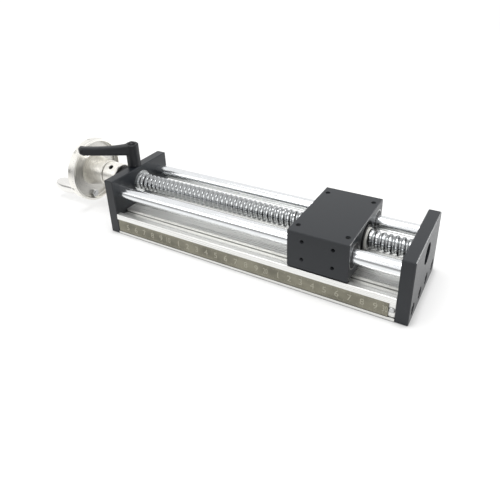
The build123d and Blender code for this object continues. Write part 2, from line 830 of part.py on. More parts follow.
def lever_cap():
    """The domed screw that holds the handle down on the insert."""
    radius = cap_diameter / 2
    shank = cap_screw_diameter / 2
    top = lever_top + cap_rise
    rim = lever_top
    tip = lever_foot + lever_stud_grip + cap_gap
    line = Polyline((0, tip), (shank, tip), (shank, cap_bottom), (radius, cap_bottom), (radius, rim))
    dome_radius = (radius ** 2 + cap_rise ** 2) / (2 * cap_rise)
    half = asin(radius / dome_radius) / 2
    middle = (dome_radius * sin(half), top - dome_radius * (1 - cos(half)))
    dome = ThreePointArc((radius, rim), middle, (0, top))
    face = Plane.XZ * make_face(line + dome + Line((0, top), (0, tip)))
    return Pos(lever_x, 0, 0) * revolve(face, Axis.Z)


def lever_spring():
    """A coil spring between the handle's shoulder and the cap's head, of wire with few sides."""
    bottom = lever_shoulder_top + spring_wire / 2 + spring_end_gap
    height = cap_bottom - spring_wire / 2 - spring_end_gap - bottom
    path = Helix(height / spring_turns, height, spring_diameter / 2)
    wire = Plane(path @ 0, z_dir=path % 0) * RegularPolygon(spring_wire / 2, spring_wire_sides)
    return Pos(lever_x, 0, bottom) * sweep(wire, path)


def arm_section(reach, height, width, z):
    """A rounded section of the arm, square to its plan direction."""
    angle = radians(arm_angle)
    direction = Vector(cos(angle), sin(angle), 0)
    across = Vector(-sin(angle), cos(angle), 0)
    plane = Plane(Vector(lever_x, 0, z) + direction * reach, x_dir=across, z_dir=direction)
    return plane * RectangleRounded(width, height, arm_corner)


def lever_handle():
    """Hub with an arm that rises to a rounded tip, bored for the insert, the screw and the spring."""
    arm_z = lever_top - arm_root_height / 2
    root = arm_section(0, arm_root_height, arm_root_width, arm_z)
    waist = arm_section(arm_waist_reach, arm_waist_height, arm_waist_width, arm_z + arm_waist_rise)
    tip = arm_section(arm_tip_reach, arm_tip_height, arm_tip_width, arm_z + arm_rise)
    end = arm_section(arm_length, arm_end_height, arm_end_width, arm_z + arm_rise + arm_end_rise)
    hub_radius = lever_hub_diameter / 2
    edge = lever_hub_edge
    hub = turned_z([(0, lever_foot), (hub_radius, lever_foot), (hub_radius, lever_top - edge),
                    (hub_radius - edge, lever_top), (0, lever_top)], lever_x, 0)
    handle = hub + loft([root, waist, tip]) + loft([tip, end])
    bore = insert_diameter + 2 * insert_gap
    handle -= round_z(bore, lever_foot, lever_shoulder_bottom, lever_x, 0)
    teeth = tooth_ring(insert_diameter / 2 + insert_gap, tooth_height)
    handle -= extrude(Plane.XY.offset(lever_foot) * Pos(lever_x, 0) * teeth, tooth_length + insert_gap)
    handle -= round_z(cap_screw_diameter + 2 * cap_gap, lever_foot, lever_top, lever_x, 0)
    return handle - round_z(cap_diameter + 2 * cap_gap, lever_shoulder_top, lever_top + arm_rise, lever_x, 0)


def build():
    """Every node's solid, or its group of solids, by name."""
    nodes = {}
    nodes["base_rail"] = base_rail()
    nodes["steel_ruler"] = steel_ruler()
    nodes["ruler_stop_screw"] = ruler_stop_screw()
    nodes["handwheel_end_plate"] = handwheel_end_plate()
    nodes["far_end_plate"] = far_end_plate()
    nodes["handwheel_plate_screws"] = plate_screws(outer_left, 1)
    nodes["far_plate_screws"] = plate_screws(outer_right, -1)
    for name, y in rod_places.items():
        nodes[name + "_guide_rod"] = guide_rod(y)
    flange = (fixed_flange_diameter, fixed_flange_width)
    fixed = bearing(journal_diameter, fixed_bearing_diameter, fixed_bearing_width, fixed_ball_diameter,
                    fixed_bearing_start, flange)
    support = bearing(journal_diameter, support_bearing_diameter, support_bearing_width,
                      support_ball_diameter, inner_right)
    for name, pieces in (("fixed_bearing", fixed), ("support_bearing", support)):
        for piece, shape in zip(("outer_ring", "inner_ring", "balls", "shields"), pieces):
            nodes[name + "_" + piece] = shape
    nodes["ball_screw"] = ball_screw()
    nodes["journal_circlip"] = journal_circlip()
    nodes["thrust_washer"] = thrust_washer()
    nodes["adjusting_nut"] = hex_nut(adjusting_nut_start, adjusting_nut_turn)
    nodes["jam_nut"] = hex_nut(jam_nut_start, jam_nut_turn)
    nodes["hub_collar"] = hub_collar()
    nodes["collar_set_screws"] = collar_set_screws()
    nodes["handwheel"] = handwheel()
    nodes["wheel_washer"] = wheel_washer()
    nodes["wheel_screw"] = wheel_screw()
    nodes["crank_stud"] = crank_stud()
    nodes["crank_nut"] = crank_nut()
    nodes["crank_grip"] = crank_grip()
    nodes["carriage_block"] = carriage_block()
    nodes["ball_nut"] = ball_nut()
    nodes["nut_wipers"] = nut_wipers()
    for rod, y in rod_places.items():
        for side, start in linear_bearing_starts().items():
            nodes[rod + "_" + side + "_bearing_shell"] = linear_bearing_shell(start, y)
    cages, seals = linear_bearing_inside()
    nodes["bearing_cages"] = cages
    nodes["bearing_seals"] = seals
    nut_places, bearing_places = set_screw_places()
    nodes["nut_set_screws"] = underside_screws(nut_places)
    nodes["bearing_set_screws"] = underside_screws(bearing_places)
    nodes["lock_pad"] = lock_pad()
    nodes["lever_stud"] = lever_stud()
    nodes["lever_insert"] = lever_insert()
    nodes["lever_cap"] = lever_cap()
    nodes["lever_spring"] = lever_spring()
    nodes["lever_handle"] = lever_handle()
    return nodes


os.makedirs("parts", exist_ok=True)
for node, shape in build().items():
    solids = shape if isinstance(shape, list) else [shape]
    whole = Compound(children=solids) if len(solids) > 1 else solids[0]
    export_step(whole, "parts/" + node + ".step")
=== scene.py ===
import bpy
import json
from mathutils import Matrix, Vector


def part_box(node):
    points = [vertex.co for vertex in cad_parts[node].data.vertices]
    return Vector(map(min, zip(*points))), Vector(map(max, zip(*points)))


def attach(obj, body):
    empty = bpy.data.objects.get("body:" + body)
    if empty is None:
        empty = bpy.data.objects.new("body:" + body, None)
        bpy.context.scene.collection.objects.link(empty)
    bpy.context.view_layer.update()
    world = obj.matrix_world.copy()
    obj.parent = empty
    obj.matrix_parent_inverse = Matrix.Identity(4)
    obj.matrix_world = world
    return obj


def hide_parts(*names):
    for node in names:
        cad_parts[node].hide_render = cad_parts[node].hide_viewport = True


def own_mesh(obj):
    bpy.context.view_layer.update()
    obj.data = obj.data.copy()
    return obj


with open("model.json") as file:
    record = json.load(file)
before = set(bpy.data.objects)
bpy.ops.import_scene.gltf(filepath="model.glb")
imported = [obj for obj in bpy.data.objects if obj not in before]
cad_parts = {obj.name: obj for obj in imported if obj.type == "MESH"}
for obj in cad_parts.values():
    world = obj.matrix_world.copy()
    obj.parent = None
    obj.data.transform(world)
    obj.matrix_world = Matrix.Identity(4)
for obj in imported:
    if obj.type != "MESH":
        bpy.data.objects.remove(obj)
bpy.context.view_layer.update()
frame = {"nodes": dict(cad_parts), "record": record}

import json
import math

import bmesh
import bpy
import numpy as np
from bpy.props import FloatProperty, FloatVectorProperty, IntProperty, PointerProperty
from mathutils import Matrix, Vector

bl_info = {
    "name": "Alignment stage finish",
    "version": (1, 0, 0),
    "blender": (4, 5, 0),
    "location": "3D View > Sidebar > Alignment stage",
    "description": "Finishes a hand-driven alignment stage: screw, rods, seals, spring, scales, "
                   "tapped holes, metals and studio",
    "category": "Object",
}

MM = 0.001
# Height of a figure as a share of the font's size
FIGURE_SHARE = 0.72
# Smooth faces part in a sharp edge past this angle
SHARP_ANGLE = math.radians(32)
# Sockets of a mix of colours, by number, because its other kinds share their names
MIX_FIRST, MIX_SECOND, MIXED = 6, 7, 2
# Each soft lamp's name, place, side and watts
LAMPS = (("overhead_lamp", (-0.10, -0.05, 1.15), 0.65, 6.5),
         ("front_lamp", (-0.55, -1.00, 0.75), 0.7, 2.5),
         ("right_lamp", (0.75, 0.62, 0.13), 0.5, 6.0))

# Faces and centres read from the frame
SCREW_LOW, SCREW_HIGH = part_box("ball_screw")
SCREW_RADIUS = (SCREW_HIGH.z - SCREW_LOW.z) / 2
AXIS_Z = (SCREW_HIGH.z + SCREW_LOW.z) / 2
THREAD_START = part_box("fixed_bearing_inner_ring")[1].x
THREAD_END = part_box("support_bearing_inner_ring")[0].x
CLIP_LOW, CLIP_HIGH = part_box("journal_circlip")
RULER_LOW, RULER_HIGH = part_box("steel_ruler")
WHEEL_LOW, WHEEL_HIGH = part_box("handwheel")
WHEEL_RADIUS = (WHEEL_HIGH.z - WHEEL_LOW.z) / 2
BLOCK_LOW, BLOCK_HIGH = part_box("carriage_block")
BLOCK_X = (BLOCK_LOW.x + BLOCK_HIGH.x) / 2
RAIL_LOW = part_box("base_rail")[0]
GRIP_LOW, GRIP_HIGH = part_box("crank_grip")
NUT_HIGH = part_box("ball_nut")[1]
WIPER_LOW, WIPER_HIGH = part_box("nut_wipers")
SPRING_LOW, SPRING_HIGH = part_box("lever_spring")
RODS = ("front_guide_rod", "back_guide_rod")
BRIGHT_FASTENERS = ("ruler_stop_screw", "crank_stud", "crank_nut")
BEARINGS = ("front_left_bearing_shell", "front_right_bearing_shell", "back_left_bearing_shell",
            "back_right_bearing_shell")


def linear(code):
    """An sRGB hex colour as linear red, green, blue and alpha."""
    shares = [int(code[i:i + 2], 16) / 255 for i in (1, 3, 5)]
    return [s / 12.92 if s <= 0.04045 else ((s + 0.055) / 1.055) ** 2.4 for s in shares] + [1.0]


def scalar(description, default, **details):
    """A number property, with its unit and limits where it has them."""
    return FloatProperty(description=description, default=default, **details)


def length(description, default):
    """A length property in metres."""
    return scalar(description, default, unit="LENGTH", precision=5)


def degrees(description, default):
    """An angle property, given in degrees and kept in radians."""
    return scalar(description, math.radians(default), subtype="ANGLE")


def count(description, default, least):
    """A whole number property."""
    return IntProperty(description=description, default=default, min=least)


def colour(description, code):
    """A colour property whose default is an sRGB hex code."""
    return FloatVectorProperty(description=description, subtype="COLOR", size=4, min=0.0, max=1.0,
                               default=linear(code))


class ScrewSizes(bpy.types.PropertyGroup):
    lead: length("Travel of the carriage for one turn", 5 * MM)
    ball_groove: length("Radius of the groove that the balls run in", 1.7 * MM)
    groove_depth: length("Depth of the groove below the crest", 1.35 * MM)
    start_turn: scalar("Share of a turn by which the groove starts late", 0.25)
    run_out: length("Length over which the groove fades at each end", 1.2 * MM)
    # The screw's groove is painted darker as shade from this depth below the crest
    crest_film: length("Depth below the crest where the grease begins", 0.15 * MM)
    journal: length("Diameter of the turned journals", 10 * MM)
    journal_chamfer: length("Chamfer on the journals' ends", 0.6 * MM)
    clip_groove: length("Floor diameter of the retaining ring's groove", 9.2 * MM)
    columns: count("Points round the screw", 56, 12)
    rows_a_turn: count("Points along one lead", 16, 6)


class RunSizes(bpy.types.PropertyGroup):
    rod_chamfer: length("Chamfer on the guide rods' ends", 0.8 * MM)
    rod_gap: length("Gap between a rod and its seals", 0.2 * MM)
    seal_lip: length("Width of the seal's lip on a bearing's end", 3.6 * MM)
    seal_rise: length("How far a seal's lip stands proud", 0.06 * MM)
    screw_gap: length("Gap between the screw and its wipers", 0.05 * MM)
    wiper_seat: length("Depth of a wiper's seat in the nut", 2.0 * MM)
    wiper_carrier: length("How far a wiper's carrier stands out of the block", 0.7 * MM)
    wiper_collar: length("Diameter of a wiper's collar", 18.0 * MM)
    wiper_chamfer: length("Chamfer on a wiper's collar", 0.4 * MM)
    columns: count("Points round a rod or ring", 72, 12)


class LeverSizes(bpy.types.PropertyGroup):
    wire: length("Diameter of the spring's wire", 0.6 * MM)
    turns: scalar("Turns of the spring's wire", 3.5, min=1.0)
    columns: count("Points round the wire", 12, 6)
    rows: count("Points along the wire", 120, 24)


class ScaleSizes(bpy.types.PropertyGroup):
    tick_width: length("Width of a fine mark", 0.16 * MM)
    long_tick: length("Length of a mark at a whole centimetre", 4.2 * MM)
    middle_tick: length("Length of a mark at a half centimetre", 3.0 * MM)
    short_tick: length("Length of a mark at a millimetre", 2.0 * MM)
    ruler_margin: length("Bare length at each end of the ruler", 0.6 * MM)
    number_height: length("Height of the ruler's numbers", 5.6 * MM)
    number_shift: length("How far a number stands before its mark", 0.9 * MM)
    tens_width: length("Width of a number with two figures", 4.0 * MM)
    tens_gap: length("Gap from a number with two figures to its mark", 0.4 * MM)
    first_mark: length("Place along X where the ruler would read zero", -170.7 * MM)
    mark_depth: length("How far a mark is sunk in the metal", 0.03 * MM)
    mark_rise: length("How far a mark's filling stands proud", 0.012 * MM)
    dial_width: length("Width of the handwheel's rim", 8.9 * MM)
    dial_margin: length("Bare width before the marks on the rim", 0.7 * MM)
    dial_short: length("Length of a dial mark", 2.0 * MM)
    dial_middle: length("Length of each fifth dial mark", 2.9 * MM)
    dial_long: length("Length of each tenth dial mark", 3.8 * MM)
    dial_number: length("Height of the dial's numbers", 2.9 * MM)
    dish_middle: length("Middle radius of the handwheel's dish", 23.5 * MM)
    dish_half: length("Half the width of the dish's floor", 7 * MM)
    # The dish is painted grey as shade; these two set where that painted shade starts and ends
    dish_inside: length("How far inside its edge the dish is all grey", 0.6 * MM)
    dish_outside: length("How far outside its edge the metal is bright", 0.4 * MM)
    dial_marks: count("Marks round the dial", 100, 10)


class HoleSizes(bpy.types.PropertyGroup):
    top_bore: length("Diameter of the top holes", 4.2 * MM)
    top_depth: length("Depth of the top holes' thread", 4.6 * MM)
    top_pitch: length("Pitch of the top holes' thread", 0.8 * MM)
    top_spacing_x: length("Distance between the top holes along X", 40 * MM)
    top_spacing_y: length("Distance between the top holes along Y", 60 * MM)
    side_bore: length("Diameter of the side holes", 3.3 * MM)
    side_depth: length("Depth of the side holes' thread", 3.0 * MM)
    side_pitch: length("Pitch of the side holes' thread", 0.7 * MM)
    side_spacing_x: length("Distance between the side holes along X", 25 * MM)
    side_spacing_z: length("Distance between the side holes along Z", 16 * MM)
    mouth: length("How far the thread starts below the face", 0.25 * MM)
    ridge: scalar("Height of a thread's ridge as a share of its pitch", 0.35)
    sleeve: length("Thickness of a thread's lining outside the bore", 0.05 * MM)
    columns: count("Points round a thread", 24, 8)


class FinishColours(bpy.types.PropertyGroup):
    black_anodising: colour("Plates and carriage", "#14191F")
    rail: colour("Clear anodised extrusion", "#F1F1EE")
    # The rail's corner colour is painted shade, laid where grooves and corners are closed in
    grime: colour("Dust and oil in the rail's corners", "#4C4D4D")
    chrome: colour("Guide rods", "#EBEDEF")
    ground_steel: colour("Bearings, studs and spring", "#C9CBCC")
    crest: colour("Oiled crests of the screw", "#AAACAD")
    # The screw's groove colour is painted shade
    grease: colour("Film in the screw's groove", "#949697")
    zinc: colour("Stop screw, crank's stud and nut", "#C4C5C5")
    ruler: colour("Satin ruler steel", "#8A8778")
    ruler_mark: colour("Etched marks and numbers", "#C6C3B1")
    dial_mark: colour("Filled marks on the handwheel", "#2A2A2B")
    turned_aluminium: colour("Handwheel and collar", "#F6F4EE")
    polished_aluminium: colour("Crank grip", "#F2F1EE")
    black_oxide: colour("Small screws", "#1B1B1D")
    white_acetal: colour("Collars of the nut's wipers", "#DAD9D3")
    # The wipers' carriers use this colour as painted shade round the white collars
    black_acetal: colour("Bearing cages, wipers' carriers", "#1A1A1B")
    rubber: colour("Seals", "#1C1C1D")
    brass: colour("Pad under the lever's stud", "#C9A45A")
    powder_coat: colour("Lever", "#121418")
    paper_dark: colour("Darker fibres of the floor", "#BEBEBD")
    paper_pale: colour("Paler fibres of the floor", "#C2C2C2")


class StudioSizes(bpy.types.PropertyGroup):
    camera_x: length("Camera's place along X", 191.9 * MM)
    camera_y: length("Camera's place along Y", -340.4 * MM)
    camera_z: length("Camera's height", 259.9 * MM)
    azimuth: degrees("Camera's turn about Z", 31.92)
    elevation: degrees("Camera's tilt below the horizon", 26.91)
    roll: degrees("Camera's turn about its own line of sight", -2.43)
    lens: scalar("Focal length in millimetres", 36.82)
    sensor: scalar("Width of the sensor in millimetres", 36.0)
    shift_x: scalar("Sideways shift of the view", 0.0232)
    shift_y: scalar("Upward shift of the view", -0.1230)
    nearest: length("Shortest distance that the camera sees", 0.01)
    farthest: length("Longest distance that the camera sees", 50.0)
    floor_size: length("Side of the square floor", 12.0)
    floor_gap: length("Gap between the rail and the floor", 0.05 * MM)
    ambient: scalar("Light from all around on rough surfaces", 0.55)
    low_sky: scalar("Share of white that shiny surfaces see low in front", 0.25)
    sky_tilt: scalar("How far a direction to the back counts as a high one", 0.35)
    sky_start: scalar("Height of a direction up to which the sky is low", -0.23)
    sky_full: scalar("Height of a direction from which the sky is white", 0.07)
    floor_lift: scalar("Light added to the floor near the object", 0.56)
    far_lift: scalar("Light added to the floor far from the object", 0.78)
    lift_start: length("Distance at which the added light starts to rise", 0.4)
    lift_full: length("Distance at which the added light is at its far value", 2.2)
    paper_end: length("Place along Y where the floor's reflection ends", -0.24)
    paper_full: length("Place along Y where the floor's reflection is full", -0.11)
    # The dark line where the rail meets the floor is a painted contact shadow
    contact: length("Reach of the dark line where the rail meets the floor", 6 * MM)


SETTINGS = {"screw": ScrewSizes, "run": RunSizes, "lever": LeverSizes, "scale": ScaleSizes,
            "holes": HoleSizes, "colours": FinishColours, "studio": StudioSizes}


def settings(group):
    """One of the scene's groups of sizes or colours."""
    return getattr(bpy.context.scene, "alignment_stage_" + group)


def add(tree, kind, values=None, **properties):
    """Adds a node with its properties, and fills its inputs with plain values or links."""
    node = tree.nodes.new(kind)
    for name, value in properties.items():
        setattr(node, name, value)
    for name, value in (values or {}).items():
        if isinstance(value, bpy.types.NodeSocket):
            tree.links.new(value, node.inputs[name])
        else:
            node.inputs[name].default_value = value
    return node


def new_material(name, **values):
    """A material with a principled shader. Spaces in an input's name are written as underscores."""
    material = bpy.data.materials.new(name)
    material.use_nodes = True
    tree = material.node_tree
    tree.nodes.clear()
    named = {key.replace("_", " "): value for key, value in values.items()}
    shader = add(tree, "ShaderNodeBsdfPrincipled", named)
    add(tree, "ShaderNodeOutputMaterial", {"Surface": shader.outputs["BSDF"]})
    return material, tree, shader


def grain(tree, size, stretch=(1.0, 1.0, 1.0), detail=3.0):
    """Noise with cells of a real size in metres, made longer along an axis by its stretch."""
    place = add(tree, "ShaderNodeTexCoord").outputs["Object"]
    scale = [1 / (size * s) for s in stretch]
    place = add(tree, "ShaderNodeMapping", {"Vector": place, "Scale": scale}).outputs["Vector"]
    return add(tree, "ShaderNodeTexNoise",
               {"Vector": place, "Scale": 1.0, "Detail": detail}).outputs[0]


def from_axis(tree, y=0.0, z=None):
    """The distance from a line along X, the screw's axis unless told, and the place along it."""
    place = add(tree, "ShaderNodeTexCoord").outputs["Object"]
    centre = (0.0, y, AXIS_Z if z is None else z)
    away = add(tree, "ShaderNodeVectorMath", {0: place, 1: centre}, operation="SUBTRACT").outputs[0]
    across = add(tree, "ShaderNodeVectorMath", {0: away, 1: (0.0, 1.0, 1.0)}, operation="MULTIPLY")
    distance = add(tree, "ShaderNodeVectorMath", {0: across.outputs[0]}, operation="LENGTH")
    along = add(tree, "ShaderNodeSeparateXYZ", {"Vector": away}).outputs["X"]
    return distance.outputs["Value"], along


def turning_marks(tree, spacing, y=0.0, z=None):
    """A lathe's rings: noise over the distance from a line along X plus the place along it."""
    distance, along = from_axis(tree, y, z)
    both = add(tree, "ShaderNodeMath", {0: distance, 1: along}, operation="ADD").outputs[0]
    line = add(tree, "ShaderNodeMath", {0: both, 1: 1 / spacing}, operation="MULTIPLY").outputs[0]
    return add(tree, "ShaderNodeTexNoise", {"W": line, "Scale": 1.0, "Detail": 2.0},
               noise_dimensions="1D").outputs[0]


def surfaced(tree, shader, pattern, tints, roughness=None, depth=0.0, span=(0.35, 0.65)):
    """Lets the colour, gloss and relief run from a first to a second value as a pattern rises
    through its span."""
    share = add(tree, "ShaderNodeMapRange",
                {"Value": pattern, "From Min": span[0], "From Max": span[1]}).outputs[0]
    mixed = add(tree, "ShaderNodeMix", {0: share, MIX_FIRST: tints[0], MIX_SECOND: tints[1]},
                data_type="RGBA").outputs[MIXED]
    tree.links.new(mixed, shader.inputs["Base Color"])
    if roughness:
        gloss = add(tree, "ShaderNodeMapRange",
                    {"Value": share, "To Min": roughness[0], "To Max": roughness[1]})
        tree.links.new(gloss.outputs[0], shader.inputs["Roughness"])
    if depth:
        relief = add(tree, "ShaderNodeBump", {"Height": pattern, "Distance": depth})
        tree.links.new(relief.outputs["Normal"], shader.inputs["Normal"])
    return mixed


def soiled(tree, shader, colours, grime, reach, span=(0.45, 0.9)):
    """Lets the colour run to a dark colour where other faces stand within reach, as in grooves and
    corners: painted shade. The span holds the shares of open sky at which a face is all shade and
    at which it is clean."""
    share = add(tree, "ShaderNodeAmbientOcclusion", {"Distance": reach}).outputs["AO"]
    share = add(tree, "ShaderNodeMapRange",
                {"Value": share, "From Min": span[0], "From Max": span[1]}).outputs[0]
    mixed = add(tree, "ShaderNodeMix", {0: share, MIX_FIRST: grime, MIX_SECOND: colours},
                data_type="RGBA").outputs[MIXED]
    tree.links.new(mixed, shader.inputs["Base Color"])


def toned(code, factor):
    """A colour made lighter or darker by a factor."""
    return [min(1.0, c * factor) for c in code[:3]] + [1.0]


def grained(name, tint, size, shades, roughness=None, depth=0.0, stretch=(1.0, 1.0, 1.0),
            detail=3.0, **values):
    """A material whose colour, gloss and relief follow a grain. Its shades are two factors on its
    tint."""
    material, tree, shader = new_material(name, **values)
    tints = [toned(getattr(settings("colours"), tint), factor) for factor in shades]
    surfaced(tree, shader, grain(tree, size, stretch, detail), tints, roughness, depth)
    return material


def black_anodised_aluminium():
    # Milled plate, dyed black in its oxide skin: a dark, cool satin face with a faint mottle
    return grained("black_anodised_aluminium", "black_anodising", 0.5 * MM, shades=(0.8, 1.25),
                   roughness=(0.30, 0.42), depth=0.012 * MM, detail=4.0, Metallic=0.0, IOR=1.5)


def clear_anodised_extrusion():
    # Extruded and clear anodised aluminium: pale satin metal with fine die lines along its length,
    # and painted shade in its grooves and corners
    tint = settings("colours").rail
    material, tree, shader = new_material("clear_anodised_extrusion", Metallic=0.75)
    lines = grain(tree, 0.55 * MM, stretch=(180.0, 1.0, 1.0))
    colours = surfaced(tree, shader, lines, (toned(tint, 0.9), toned(tint, 1.08)),
                       roughness=(0.26, 0.38), depth=0.02 * MM)
    # Painted shade: the colour darkens where other faces stand close, in grooves and corners
    soiled(tree, shader, colours, settings("colours").grime, reach=1.6 * MM)
    return material


def hard_chromed_steel():
    # Ground shaft under hard chrome: close to a mirror, with the faintest clouds of wear
    return grained("hard_chromed_steel", "chrome", 9 * MM, shades=(0.96, 1.0),
                   roughness=(0.17, 0.19), detail=2.0, Metallic=1.0)


def ground_bearing_steel():
    # Hardened steel, ground and oiled: bright grey with fine rings round the axis
    tint = settings("colours").ground_steel
    material, tree, shader = new_material("ground_bearing_steel", Metallic=1.0)
    rings = turning_marks(tree, 0.5 * MM)
    surfaced(tree, shader, rings, (toned(tint, 0.82), toned(tint, 1.06)),
             roughness=(0.16, 0.28), depth=0.008 * MM)
    return material


def greased_ball_screw():
    # Ground steel screw: glossier on its crests than in its groove, and painted darker in its
    # groove as shade
    colours = settings("colours")
    sizes = settings("screw")
    material, tree, shader = new_material("greased_ball_screw", Metallic=1.0)
    distance, _ = from_axis(tree)
    # Painted shade: the groove is coloured darker than the crests
    surfaced(tree, shader, distance, (colours.grease, colours.crest), roughness=(0.24, 0.14),
             span=(SCREW_RADIUS - sizes.groove_depth, SCREW_RADIUS - sizes.crest_film))
    return material


def zinc_plated_steel():
    # Small steel screw, stud and nut under bright zinc: pale grey with soft clouds
    return grained("zinc_plated_steel", "zinc", 1.5 * MM, shades=(0.85, 1.05),
                   roughness=(0.22, 0.34), Metallic=1.0)


def satin_ruler_steel():
    # Rolled spring steel with a satin, slightly oiled face: olive grey clouds, long rolling lines
    tint = settings("colours").ruler
    material, tree, shader = new_material("satin_ruler_steel", Metallic=0.55)
    clouds = grain(tree, 13 * MM, stretch=(1.6, 1.0, 1.0))
    colours = surfaced(tree, shader, clouds, (toned(tint, 0.66), toned(tint, 1.16)))
    lines = grain(tree, 0.35 * MM, stretch=(120.0, 1.0, 1.0), detail=2.0)
    surfaced(tree, shader, lines, (colours, toned(tint, 1.1)), roughness=(0.40, 0.55),
             depth=0.01 * MM, span=(0.5, 1.2))
    return material


def etched_marks(name, tint):
    # Etched marks with paint wiped in: matt, with small gaps of wear
    return grained(name, tint, 0.7 * MM, shades=(0.8, 1.0), Metallic=0.0, Roughness=0.6)


def turned_aluminium():
    # Aluminium turned on a lathe and left bare: silver with fine rings, and painted darker grey in
    # the dish as shade
    tint = settings("colours").turned_aluminium
    material, tree, shader = new_material("turned_aluminium", Metallic=1.0)
    rings = turning_marks(tree, 0.45 * MM)
    bright = surfaced(tree, shader, rings, (toned(tint, 0.92), toned(tint, 1.05)),
                      roughness=(0.27, 0.41), depth=0.015 * MM)
    sizes = settings("scale")
    # Painted shade: the dish's floor is coloured darker grey than the rest of the wheel
    distance, _ = from_axis(tree)
    apart = add(tree, "ShaderNodeMath", {0: distance, 1: sizes.dish_middle},
                operation="SUBTRACT").outputs[0]
    apart = add(tree, "ShaderNodeMath", {0: apart}, operation="ABSOLUTE").outputs[0]
    surfaced(tree, shader, apart, (toned(tint, 0.62), bright),
             span=(sizes.dish_half - sizes.dish_inside, sizes.dish_half + sizes.dish_outside))
    return material


def polished_aluminium():
    # Turned and polished aluminium: bright, with soft rings about the grip's own axis
    tint = settings("colours").polished_aluminium
    material, tree, shader = new_material("polished_aluminium", Metallic=1.0)
    middle = (GRIP_LOW + GRIP_HIGH) / 2
    rings = turning_marks(tree, 0.6 * MM, middle.y, middle.z)
    surfaced(tree, shader, rings, (toned(tint, 0.94), tint), roughness=(0.12, 0.20))
    return material


def black_oxide_steel():
    # Alloy steel screws, blackened and oiled: near black with a dull metal sheen
    return grained("black_oxide_steel", "black_oxide", 1.2 * MM, shades=(0.7, 1.5),
                   roughness=(0.32, 0.46), Metallic=0.6)


def moulded_acetal(name):
    # Moulded acetal: waxy and even, with a little light let in below the skin
    return grained(name, name, 2.5 * MM, shades=(0.92, 1.0), roughness=(0.36, 0.46),
                   Metallic=0.0, IOR=1.48, Subsurface_Weight=0.12, Subsurface_Scale=0.6 * MM)


def wiper_in_black_carrier():
    # Moulded white wiper on its carrier ring: waxy white collar, and dull black round it as painted
    # shade
    colours = settings("colours")
    material, tree, shader = new_material("wiper_in_black_carrier", Metallic=0.0, IOR=1.48)
    distance, _ = from_axis(tree)
    collar = settings("run").wiper_collar / 2
    just_outside = (collar + 0.02 * MM, collar + 0.1 * MM)
    # Painted shade: black beyond the collar's edge
    surfaced(tree, shader, distance, (colours.white_acetal, colours.black_acetal),
             roughness=(0.36, 0.46), span=just_outside)
    return material


def nitrile_rubber():
    # Moulded nitrile seal lips: dull black with a fine dusty bloom
    return grained("nitrile_rubber", "rubber", 0.4 * MM, shades=(1.0, 1.6),
                   roughness=(0.55, 0.75), depth=0.02 * MM, Metallic=0.0)


def turned_brass():
    # Brass rod, turned: warm yellow metal with fine rings
    return grained("turned_brass", "brass", 0.3 * MM, shades=(0.88, 1.0),
                   roughness=(0.20, 0.34), stretch=(40.0, 40.0, 1.0), detail=2.0, Metallic=1.0)


def powder_coated_zinc():
    # Die-cast zinc under a fine textured powder coat: black satin with a close orange peel
    return grained("powder_coated_zinc", "powder_coat", 0.7 * MM, shades=(0.85, 1.15),
                   roughness=(0.34, 0.48), depth=0.03 * MM, detail=2.0, Metallic=0.0, IOR=1.5,
                   Specular_IOR_Level=0.4)


def finishes():
    """The material of each of the record's slots, and one more for the bright fasteners."""
    return {
        "anodised_aluminium": black_anodised_aluminium(),
        "extruded_aluminium": clear_anodised_extrusion(),
        "chromed_steel": hard_chromed_steel(),
        "ground_steel": ground_bearing_steel(),
        "ruler_steel": satin_ruler_steel(),
        "machined_aluminium": turned_aluminium(),
        "polished_aluminium": polished_aluminium(),
        "black_oxide_steel": black_oxide_steel(),
        "white_acetal": moulded_acetal("white_acetal"),
        "black_acetal": moulded_acetal("black_acetal"),
        "black_rubber": nitrile_rubber(),
        "brass": turned_brass(),
        "black_coated_zinc": powder_coated_zinc(),
        "bright_fasteners": zinc_plated_steel(),
    }


def ring_faces(rows, columns):
    """Four-sided faces between rings of points, each ring closed on itself."""
    row = np.arange(rows - 1)[:, None] * columns
    column = np.arange(columns)
    after = (column + 1) % columns
    corners = [row + column, row + after, row + columns + after, row + columns + column]
    return np.stack(corners, axis=-1).reshape(-1, 4)


def coiled(radius, wire, bottom, top, turns, rows, columns):
    """Wire coiled about Z: a circle carried square to a helix, drawn to a point at both ends."""
    angle = 2 * np.pi * turns * np.clip(np.arange(-1, rows + 1) / (rows - 1), 0, 1)
    rise = (top - bottom) / (2 * np.pi * turns)
    cosine, sine, none = np.cos(angle), np.sin(angle), np.zeros_like(angle)
    outward = np.stack([cosine, sine, none], axis=-1)
    ahead = np.stack([-radius * sine, radius * cosine, none + rise], axis=-1)
    ahead /= np.linalg.norm(ahead, axis=-1, keepdims=True)
    across = np.cross(ahead, outward)
    middle = radius * outward + np.stack([none, none, bottom + rise * angle], axis=-1)
    reach = np.full(len(angle), wire / 2)
    reach[[0, -1]] = 0
    around = 2 * np.pi * np.arange(columns) / columns
    circle = (np.cos(around)[:, None] * outward[:, None, :]
              + np.sin(around)[:, None] * across[:, None, :])
    points = middle[:, None, :] + reach[:, None, None] * circle
    return points.reshape(-1, 3), ring_faces(len(angle), columns)


def turned(profile, columns):
    """Turns (x, radius) points about X: y is radius times the angle's cosine, z times its sine."""
    x, radius = np.array(profile, float).T
    angle = 2 * np.pi * np.arange(columns) / columns
    round_it = radius[:, None] * np.stack([np.cos(angle), np.sin(angle)])[:, None, :]
    points = np.stack([np.broadcast_to(x[:, None], round_it[0].shape), *round_it], axis=-1)
    return points.reshape(-1, 3), ring_faces(len(x), columns)


